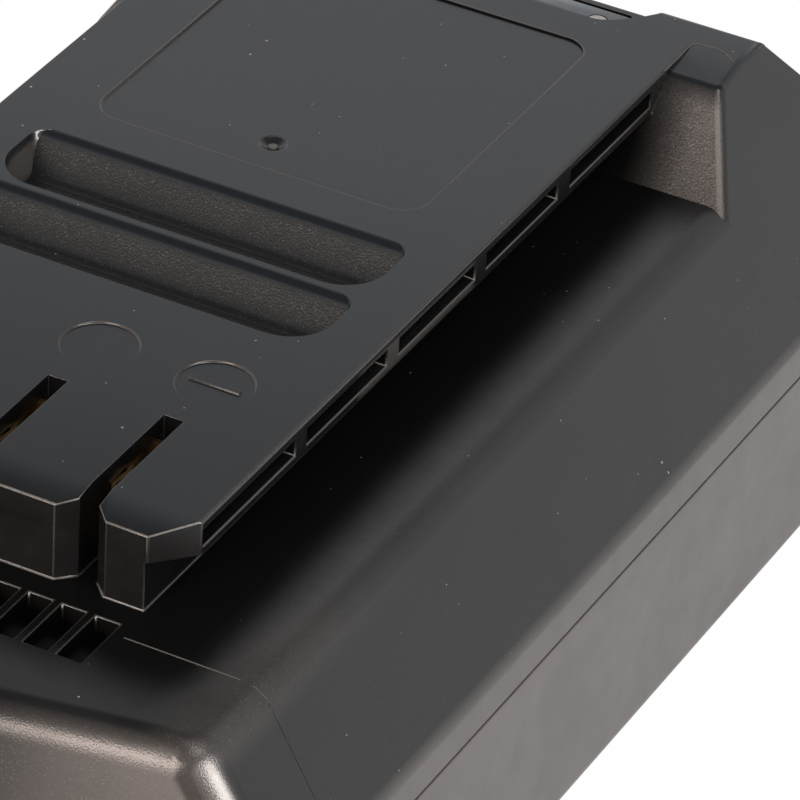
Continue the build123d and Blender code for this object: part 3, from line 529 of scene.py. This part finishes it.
def board_laminate():
    """Solder-masked laminate with copper tracks just showing under the mask."""
    paint = Paint("board laminate")
    place = paint.place()
    tracks = paint.add("ShaderNodeTexBrick", {"offset": 0.5},
                       {"Vector": place, "Scale": 0.35, "Mortar Size": 0.03,
                        "Mortar Smooth": 0.2}).out("Fac")
    tone = paint.mix(tracks, rgb(0.012, 0.09, 0.035), rgb(0.03, 0.16, 0.06))
    weave = paint.noise(place, grain=0.6, detail=2.0).bounded(*CLOSE)
    return paint.finish(Base_Color=tone, Roughness=weave * 0.1 + 0.3,
                        Normal=paint.bump(tracks, depth=0.03))


def smoked_lens():
    """Glossy smoked plastic with faint polishing haze and dust."""
    paint = Paint("smoked lens")
    place = paint.place()
    haze = paint.noise(place, grain=2.5, detail=4.0, roughness=0.6).bounded(0.3, 0.75)
    specks = dust(paint, place, 0.15, 2.2)
    tone = paint.mix(specks * DUST_COVER, smudges(paint, place, settings().lens_color, 0.2),
                     rgb(0.5, 0.5, 0.5))
    return paint.finish(Base_Color=tone, Roughness=haze * 0.08 + 0.08 + specks * 0.3,
                        Coat_Weight=haze * 0.4 + 0.3)


def clear_resin(name, color):
    """Pale, see-through resin with a slight haze."""
    paint = Paint(name)
    place = paint.place()
    haze = paint.noise(place, grain=1.5, detail=3.0).bounded(*CLOSE)
    paint.shader.inputs["Transmission Weight"].default_value = 0.6
    return paint.finish(Base_Color=smudges(paint, place, color, 0.05),
                        Roughness=haze * 0.15 + 0.1)


class PackSettings(PropertyGroup):
    """Sizes and colours of the pack's dressing."""

    edge_round: FloatProperty(
        name="Edge rounding", description="Width of the small rounds along moulded edges",
        default=0.2 * MM, unit="LENGTH")
    upper_color: FloatVectorProperty(
        name="Upper shell", description="Colour of the upper shell's plastic",
        subtype="COLOR", default=(0.005, 0.005, 0.0052))
    top_color: FloatVectorProperty(
        name="Rail top", description="Colour of the rail's smooth top",
        subtype="COLOR", default=(0.003, 0.005, 0.008))
    lower_color: FloatVectorProperty(
        name="Lower shell", description="Colour of the lower shell's plastic",
        subtype="COLOR", default=(0.089, 0.079, 0.074))
    # Also the colour of the edges' painted highlights and of the painted glints
    edge_highlight_color: FloatVectorProperty(
        name="Edges", description="Colour of the rubbed moulded edges",
        subtype="COLOR", default=(0.1, 0.095, 0.088))
    flash_color: FloatVectorProperty(
        name="Parting lines", description="Colour of the thin raised parting lines",
        subtype="COLOR", default=(0.07, 0.066, 0.062))
    lens_color: FloatVectorProperty(
        name="Lens", description="Colour of the smoked display lens",
        subtype="COLOR", default=(0.02, 0.035, 0.05))
    button_color: FloatVectorProperty(
        name="Button", description="Colour of the test button",
        subtype="COLOR", default=(0.42, 0.41, 0.37))
    sleeve_color: FloatVectorProperty(
        name="Cell sleeve", description="Colour of the cells' shrink sleeves",
        subtype="COLOR", default=(0.03, 0.13, 0.2))
    floor_color: FloatVectorProperty(
        name="Floor", description="Colour of the studio floor",
        subtype="COLOR", default=(0.9, 0.9, 0.9))
    world_light: FloatProperty(
        name="Surroundings", description="Strength of the surroundings near the horizon",
        default=0.9)
    world_top: FloatProperty(
        name="Overhead", description="Strength of the surroundings overhead", default=0.22)
    floor_white: FloatProperty(
        name="Floor whiteness", description="How far the floor's shadows are lifted to white",
        default=0.98)
    key_power: FloatProperty(
        name="Key light", description="Power of the warm front light", default=8.6, unit="POWER")
    corner_power: FloatProperty(
        name="Corner light", description="Power of the low light at the front right",
        default=8.0, unit="POWER")
    side_power: FloatProperty(
        name="Side light", description="Power of the right-hand light", default=2.1, unit="POWER")


def settings():
    return bpy.context.scene.battery_pack


def clear_selection():
    for item in bpy.context.selected_objects:
        item.select_set(False)


def only(piece):
    """Makes one piece the only selected and active one."""
    clear_selection()
    piece.select_set(True)
    bpy.context.view_layer.objects.active = piece


def paint_node(node, material):
    """Gives a CAD node one material."""
    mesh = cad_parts[node].data
    mesh.materials.clear()
    mesh.materials.append(material)


def merged_copy(node, name):
    """A copy of a CAD node with its loose triangles merged into whole flat faces."""
    piece = bpy.data.objects.new(name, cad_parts[node].data.copy())
    bpy.context.scene.collection.objects.link(piece)
    only(piece)
    bpy.ops.object.mode_set(mode="EDIT")
    bpy.ops.mesh.select_all(action="SELECT")
    bpy.ops.mesh.remove_doubles(threshold=MERGE_REACH * MM)
    form = bmesh.from_edit_mesh(piece.data)
    form.select_mode = {"FACE"}
    for face in form.faces:
        face.select_set(face.normal.z > UPWARD)
    form.select_flush_mode()
    bpy.ops.mesh.dissolve_limited(angle_limit=math.radians(MERGE_ANGLE))
    bpy.ops.object.mode_set(mode="OBJECT")
    return piece


def edge_share(edge):
    """How much of the full rounding an edge of a piece gets."""
    middle = (edge.verts[0].co + edge.verts[1].co) / 2 / MM
    beyond = abs(middle.x - RAIL_SHIFT)
    length = edge.calc_length() / MM
    in_trough = TROUGH_FRONT < middle.y < TROUGH_REAR and middle.z > TROUGH_FLOOR
    if in_trough and beyond < TROUGH_HALF and length < TROUGH_HALF:
        return 0.0
    if middle.y > SHOULDER and (length < SHORT or not edge.is_convex):
        return 0.0
    if middle.z > SHALLOW and beyond < TROUGH_HALF:
        return MARK_SHARE
    return EDGE_SHARE


def belt_share(edge):
    """Picks the long crease between a flank and the upright side."""
    middle = (edge.verts[0].co + edge.verts[1].co) / 2 / MM
    on_belt = abs(middle.z - BELT_HEIGHT) < BELT_REACH and abs(middle.x) > BELT_HALF
    return 1.0 if on_belt and edge.calc_length() > BELT_LENGTH * MM else 0.0


def round_edges(piece, width, share, segments=2):
    """Rounds a piece's sharp edges, each by its share of a width."""
    only(piece)
    form = bmesh.new()
    form.from_mesh(piece.data)
    weights = form.edges.layers.float.get(WEIGHTS) or form.edges.layers.float.new(WEIGHTS)
    least = math.radians(SHARP_ANGLE)
    for edge in form.edges:
        sharp = len(edge.link_faces) == 2 and edge.calc_face_angle(0.0) > least
        edge[weights] = share(edge) if sharp else 0.0
        edge.smooth = edge.smooth and (edge[weights] > 0 or not sharp)
    form.to_mesh(piece.data)
    form.free()
    bevel = piece.modifiers.new("edge rounds", "BEVEL")
    bevel.width = width
    bevel.segments = segments
    bevel.limit_method = "WEIGHT"
    bevel.use_clamp_overlap = False
    if segments == 2:
        bevel.material = len(piece.data.materials) - 1
    bpy.ops.object.modifier_apply(modifier=bevel.name)


def keep_faces_flat(piece):
    """Smooths a piece's shading without bulging its flat faces."""
    only(piece)
    bpy.ops.object.shade_smooth()
    flat = piece.modifiers.new("flat faces", "WEIGHTED_NORMAL")
    flat.mode = "FACE_AREA"
    flat.keep_sharp = True
    flat.weight = FLAT_WEIGHT
    bpy.ops.object.modifier_apply(modifier=flat.name)


def skin(node, body, slot, width, *materials):
    """A dressed copy of a CAD node that takes its place; a second material is for its edges."""
    piece = merged_copy(node, node + "_skin")
    piece.data.materials.clear()
    for material in materials:
        piece.data.materials.append(material)
    if slot == "upper_shell":
        round_edges(piece, BELT_ROUND * MM, belt_share, segments=5)
    round_edges(piece, width, edge_share)
    keep_faces_flat(piece)
    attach(piece, body)
    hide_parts(node)


class BATTERY_OT_upper_shell(Operator):
    """Upper shell with its rail, rounded edges and grained plastic"""
    bl_idname = "battery.upper_shell"
    bl_label = "Upper shell"

    def execute(self, context):
        skin("upper_housing", "pack", "upper_shell", settings().edge_round, upper_plastic(),
             edge_plastic())
        return {"FINISHED"}


class BATTERY_OT_lower_shell(Operator):
    """Lower shell with rounded edges and grained plastic"""
    bl_idname = "battery.lower_shell"
    bl_label = "Lower shell"

    def execute(self, context):
        skin("lower_housing", "pack", "lower_shell", settings().edge_round, lower_plastic())
        return {"FINISHED"}


class BATTERY_OT_parting_lines(Operator):
    """Thin raised parting lines across the deck and down both flanks"""
    bl_idname = "battery.parting_lines"
    bl_label = "Parting lines"

    def execute(self, context):
        pale = plain_plastic("parting line plastic", settings().flash_color)
        dark = bpy.data.materials["upper shell plastic"]
        for side, turned in (("left", -1), ("right", 1)):
            for run, places in FLASH_RUNS.items():
                clear_selection()
                places = [Vector((turned * x, y, z)) * MM for x, y, z in places]
                strips = [self.strip(*pair) for pair in zip(places, places[1:])]
                for piece in strips:
                    piece.select_set(True)
                if len(strips) > 1:
                    bpy.ops.object.join()
                piece = bpy.context.object
                piece.name = "parting_line_%s_%s" % (run, side)
                piece.data.materials.append(dark if run == "flank" else pale)
                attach(piece, "pack")
        return {"FINISHED"}

    def strip(self, start, end):
        """One thin raised strip between two places."""
        clear_selection()
        run = end - start
        bpy.ops.mesh.primitive_cube_add(
            size=1.0, location=(start + end) / 2,
            rotation=run.to_track_quat("X", "Z").to_euler(),
            scale=(run.length, FLASH_WIDTH * MM, FLASH_HEIGHT * MM))
        bpy.ops.object.transform_apply(location=True, rotation=True, scale=True)
        return bpy.context.object


class BATTERY_OT_dimple_pip(Operator):
    """Small raised pip on the floor of the panel's dimple"""
    bl_idname = "battery.dimple_pip"
    bl_label = "Dimple pip"

    def execute(self, context):
        clear_selection()
        bpy.ops.mesh.primitive_cylinder_add(
            vertices=PIP_SIDES, radius=PIP_RADIUS * MM, depth=PIP_HEIGHT * MM,
            location=[value * MM for value in PIP_PLACE])
        bpy.ops.object.transform_apply(location=True, rotation=True, scale=True)
        pip = context.object
        pip.name = "dimple_pip"
        pip.data.materials.append(bpy.data.materials["parting line plastic"])
        pip.data.materials.append(bpy.data.materials["edge plastic"])
        round_edges(pip, PIP_ROUND * MM, lambda edge: 1.0)
        keep_faces_flat(pip)
        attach(pip, "pack")
        return {"FINISHED"}


class BATTERY_OT_display(Operator):
    """Smoked lens and the round test button"""
    bl_idname = "battery.display"
    bl_label = "Display"

    def execute(self, context):
        skin("indicator_lens", "pack", "smoked_lens", LENS_ROUND * MM, smoked_lens())
        button = plain_plastic("button plastic", settings().button_color, roughness=0.35,
                               grain=0.4, depth=0.006)
        skin("test_button", "button", "button_plastic", BUTTON_ROUND * MM, button)
        paint_node("switch_plunger", button)
        return {"FINISHED"}


class BATTERY_OT_cells(Operator):
    """Cells, their holders, strips, links and sheet"""
    bl_idname = "battery.cells"
    bl_label = "Cells and holders"

    def execute(self, context):
        sleeve = cell_sleeve()
        nickel = worn_metal("nickel strip", (0.62, 0.6, 0.56), roughness=0.22, stretch=ACROSS)
        holder = plain_plastic("holder plastic", (0.03, 0.03, 0.031), roughness=0.5)
        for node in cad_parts:
            if node.startswith("cell_"):
                paint_node(node, sleeve)
            if "_strip_" in node or "_link_" in node:
                paint_node(node, nickel)
            if node.endswith("_holder"):
                paint_node(node, holder)
        # The insulation sheet is near-black: painted shade seen through the vents
        sheet = plain_plastic("sheet paper", (0.003, 0.003, 0.003), roughness=0.7, grain=0.3)
        paint_node("insulation_sheet", sheet)
        return {"FINISHED"}


class BATTERY_OT_electronics(Operator):
    """Contact clips, bars, boards and the small pieces on them"""
    bl_idname = "battery.electronics"
    bl_label = "Electronics"

    def execute(self, context):
        copper = worn_metal("copper bar", (0.72, 0.4, 0.26), roughness=0.25, stretch=ALONG)
        # Tarnish on the contact brass, made heavy as painted shade for the clips deep in the slots
        brass = worn_metal("contact brass", (0.4, 0.27, 0.12), roughness=0.3, stretch=UPRIGHT,
                           tarnish=0.5)
        board = board_laminate()
        black = plain_plastic("component black", (0.012, 0.012, 0.012), roughness=0.5, grain=0.2)
        steel = worn_metal("screw steel", (0.55, 0.56, 0.56), roughness=0.25)
        block = plain_plastic("block plastic", (0.008, 0.008, 0.008), roughness=0.5)
        aluminium = worn_metal("spreader aluminium", (0.7, 0.7, 0.71), roughness=0.28,
                               stretch=ALONG)
        film = plain_plastic("ribbon film", (0.35, 0.2, 0.05), roughness=0.35, grain=0.8)
        pieces = {
            "negative_bar": copper, "positive_bar": copper, "sense_bar": copper,
            "positive_clip": brass, "sense_clip": brass, "negative_clip": brass,
            "terminal_block": block, "heat_spreader": aluminium, "indicator_ribbon": film,
            "circuit_board": board, "indicator_board": board,
            "power_transistors": black, "control_chip": black, "test_switch": black,
            "indicator_lamps": clear_resin("lamp resin", (0.8, 0.8, 0.75)),
            "light_guide": clear_resin("clear plastic", (0.8, 0.83, 0.83)),
            "case_screws": steel, "board_screws": steel, "display_screws": steel,
        }
        for node, material in pieces.items():
            paint_node(node, material)
        return {"FINISHED"}


class BATTERY_OT_stage(Operator):
    """Floor, surroundings, lights and camera"""
    bl_idname = "battery.stage"
    bl_label = "Stage"

    def execute(self, context):
        scene = context.scene
        scene.view_settings.view_transform = "Standard"
        self.make_camera(scene)
        self.make_floor()
        self.make_world(scene)
        for name, power, direction, size, color in LIGHTS:
            light = self.make_light(name, direction, size, getattr(settings(), power), color)
            light.visible_diffuse = name != GLOSSY_ONLY
        return {"FINISHED"}

    def make_camera(self, scene):
        data = bpy.data.cameras.new("photo camera")
        data.sensor_width = CAMERA_SENSOR
        data.lens = CAMERA_LENS
        data.clip_start = CAMERA_NEAR
        data.clip_end = CAMERA_FAR
        camera = bpy.data.objects.new("photo camera", data)
        scene.collection.objects.link(camera)
        turn = Matrix((CAMERA_RIGHT, CAMERA_UP, CAMERA_BACK)).transposed().to_4x4()
        camera.matrix_world = Matrix.Translation(CAMERA_PLACE) @ turn
        scene.camera = camera

    def make_floor(self):
        clear_selection()
        bpy.ops.mesh.primitive_plane_add(size=FLOOR_SIZE, location=(0, 0, -FLOOR_DROP))
        floor = bpy.context.object
        floor.name = "studio_floor"
        paint = Paint("studio floor")
        place = paint.place()
        paint.finish(Base_Color=smudges(paint, place, settings().floor_color, 0.02),
                     Roughness=0.9)
        rays = paint.add("ShaderNodeLightPath")
        seen = paint.largest(rays.out("Is Camera Ray"), rays.out("Is Glossy Ray"))
        glow = paint.add("ShaderNodeEmission", {}, {"Color": rgb(1.0, 1.0, 1.0)})
        paint.blend(seen * settings().floor_white, glow.out("Emission"))
        floor.data.materials.append(paint.material)

    def make_world(self, scene):
        """White to the camera; to all else bright near the horizon and dimmer overhead."""
        world = bpy.data.worlds.new("studio")
        scene.world = world
        world.use_nodes = True
        nodes, links = world.node_tree.nodes, world.node_tree.links
        background = nodes["Background"]
        path = nodes.new("ShaderNodeLightPath")
        coordinates = nodes.new("ShaderNodeTexCoord")
        split = nodes.new("ShaderNodeSeparateXYZ")
        height = nodes.new("ShaderNodeMapRange")
        strength = nodes.new("ShaderNodeMix")
        links.new(coordinates.outputs["Generated"], split.inputs[0])
        links.new(split.outputs["Z"], height.inputs["Value"])
        height.inputs["From Min"].default_value = WORLD_RISE[0]
        height.inputs["From Max"].default_value = WORLD_RISE[1]
        height.inputs["To Min"].default_value = settings().world_light
        height.inputs["To Max"].default_value = settings().world_top
        links.new(path.outputs["Is Camera Ray"], strength.inputs[0])
        links.new(height.outputs["Result"], strength.inputs[2])
        strength.inputs[3].default_value = 1.0
        background.inputs["Color"].default_value = rgb(1.0, 1.0, 1.0)
        links.new(strength.outputs[0], background.inputs["Strength"])

    def make_light(self, name, direction, size, power, color):
        data = bpy.data.lights.new(name, "AREA")
        data.shape = "RECTANGLE"
        data.size, data.size_y = size
        data.energy = power
        data.color = color
        light = bpy.data.objects.new(name, data)
        bpy.context.scene.collection.objects.link(light)
        away = Vector(direction).normalized()
        light.location = Vector(AIM) + away * LIGHT_DISTANCE
        light.rotation_euler = away.to_track_quat("Z", "Y").to_euler()
        return light


class BATTERY_PT_dressing(Panel):
    """Sidebar panel with the dressing's sizes, colours and steps"""
    bl_idname = "BATTERY_PT_dressing"
    bl_label = "Battery pack"
    bl_space_type = "VIEW_3D"
    bl_region_type = "UI"
    bl_category = "Battery"

    def draw(self, context):
        for name in PackSettings.__annotations__:
            self.layout.prop(context.scene.battery_pack, name)
        for step in STEPS:
            self.layout.operator(step.bl_idname)


STEPS = (
    BATTERY_OT_stage,
    BATTERY_OT_upper_shell,
    BATTERY_OT_lower_shell,
    BATTERY_OT_parting_lines,
    BATTERY_OT_dimple_pip,
    BATTERY_OT_display,
    BATTERY_OT_cells,
    BATTERY_OT_electronics,
)
CLASSES = (PackSettings, *STEPS, BATTERY_PT_dressing)


def register():
    for item in CLASSES:
        bpy.utils.register_class(item)
    bpy.types.Scene.battery_pack = PointerProperty(type=PackSettings)


def unregister():
    del bpy.types.Scene.battery_pack
    for item in reversed(CLASSES):
        bpy.utils.unregister_class(item)


def run_step(step):
    """Runs one operator through bpy.ops by its name."""
    group, name = step.bl_idname.split(".")
    getattr(getattr(bpy.ops, group), name)()


def main():
    register()
    for step in STEPS:
        run_step(step)


if __name__ == "__main__":
    main()
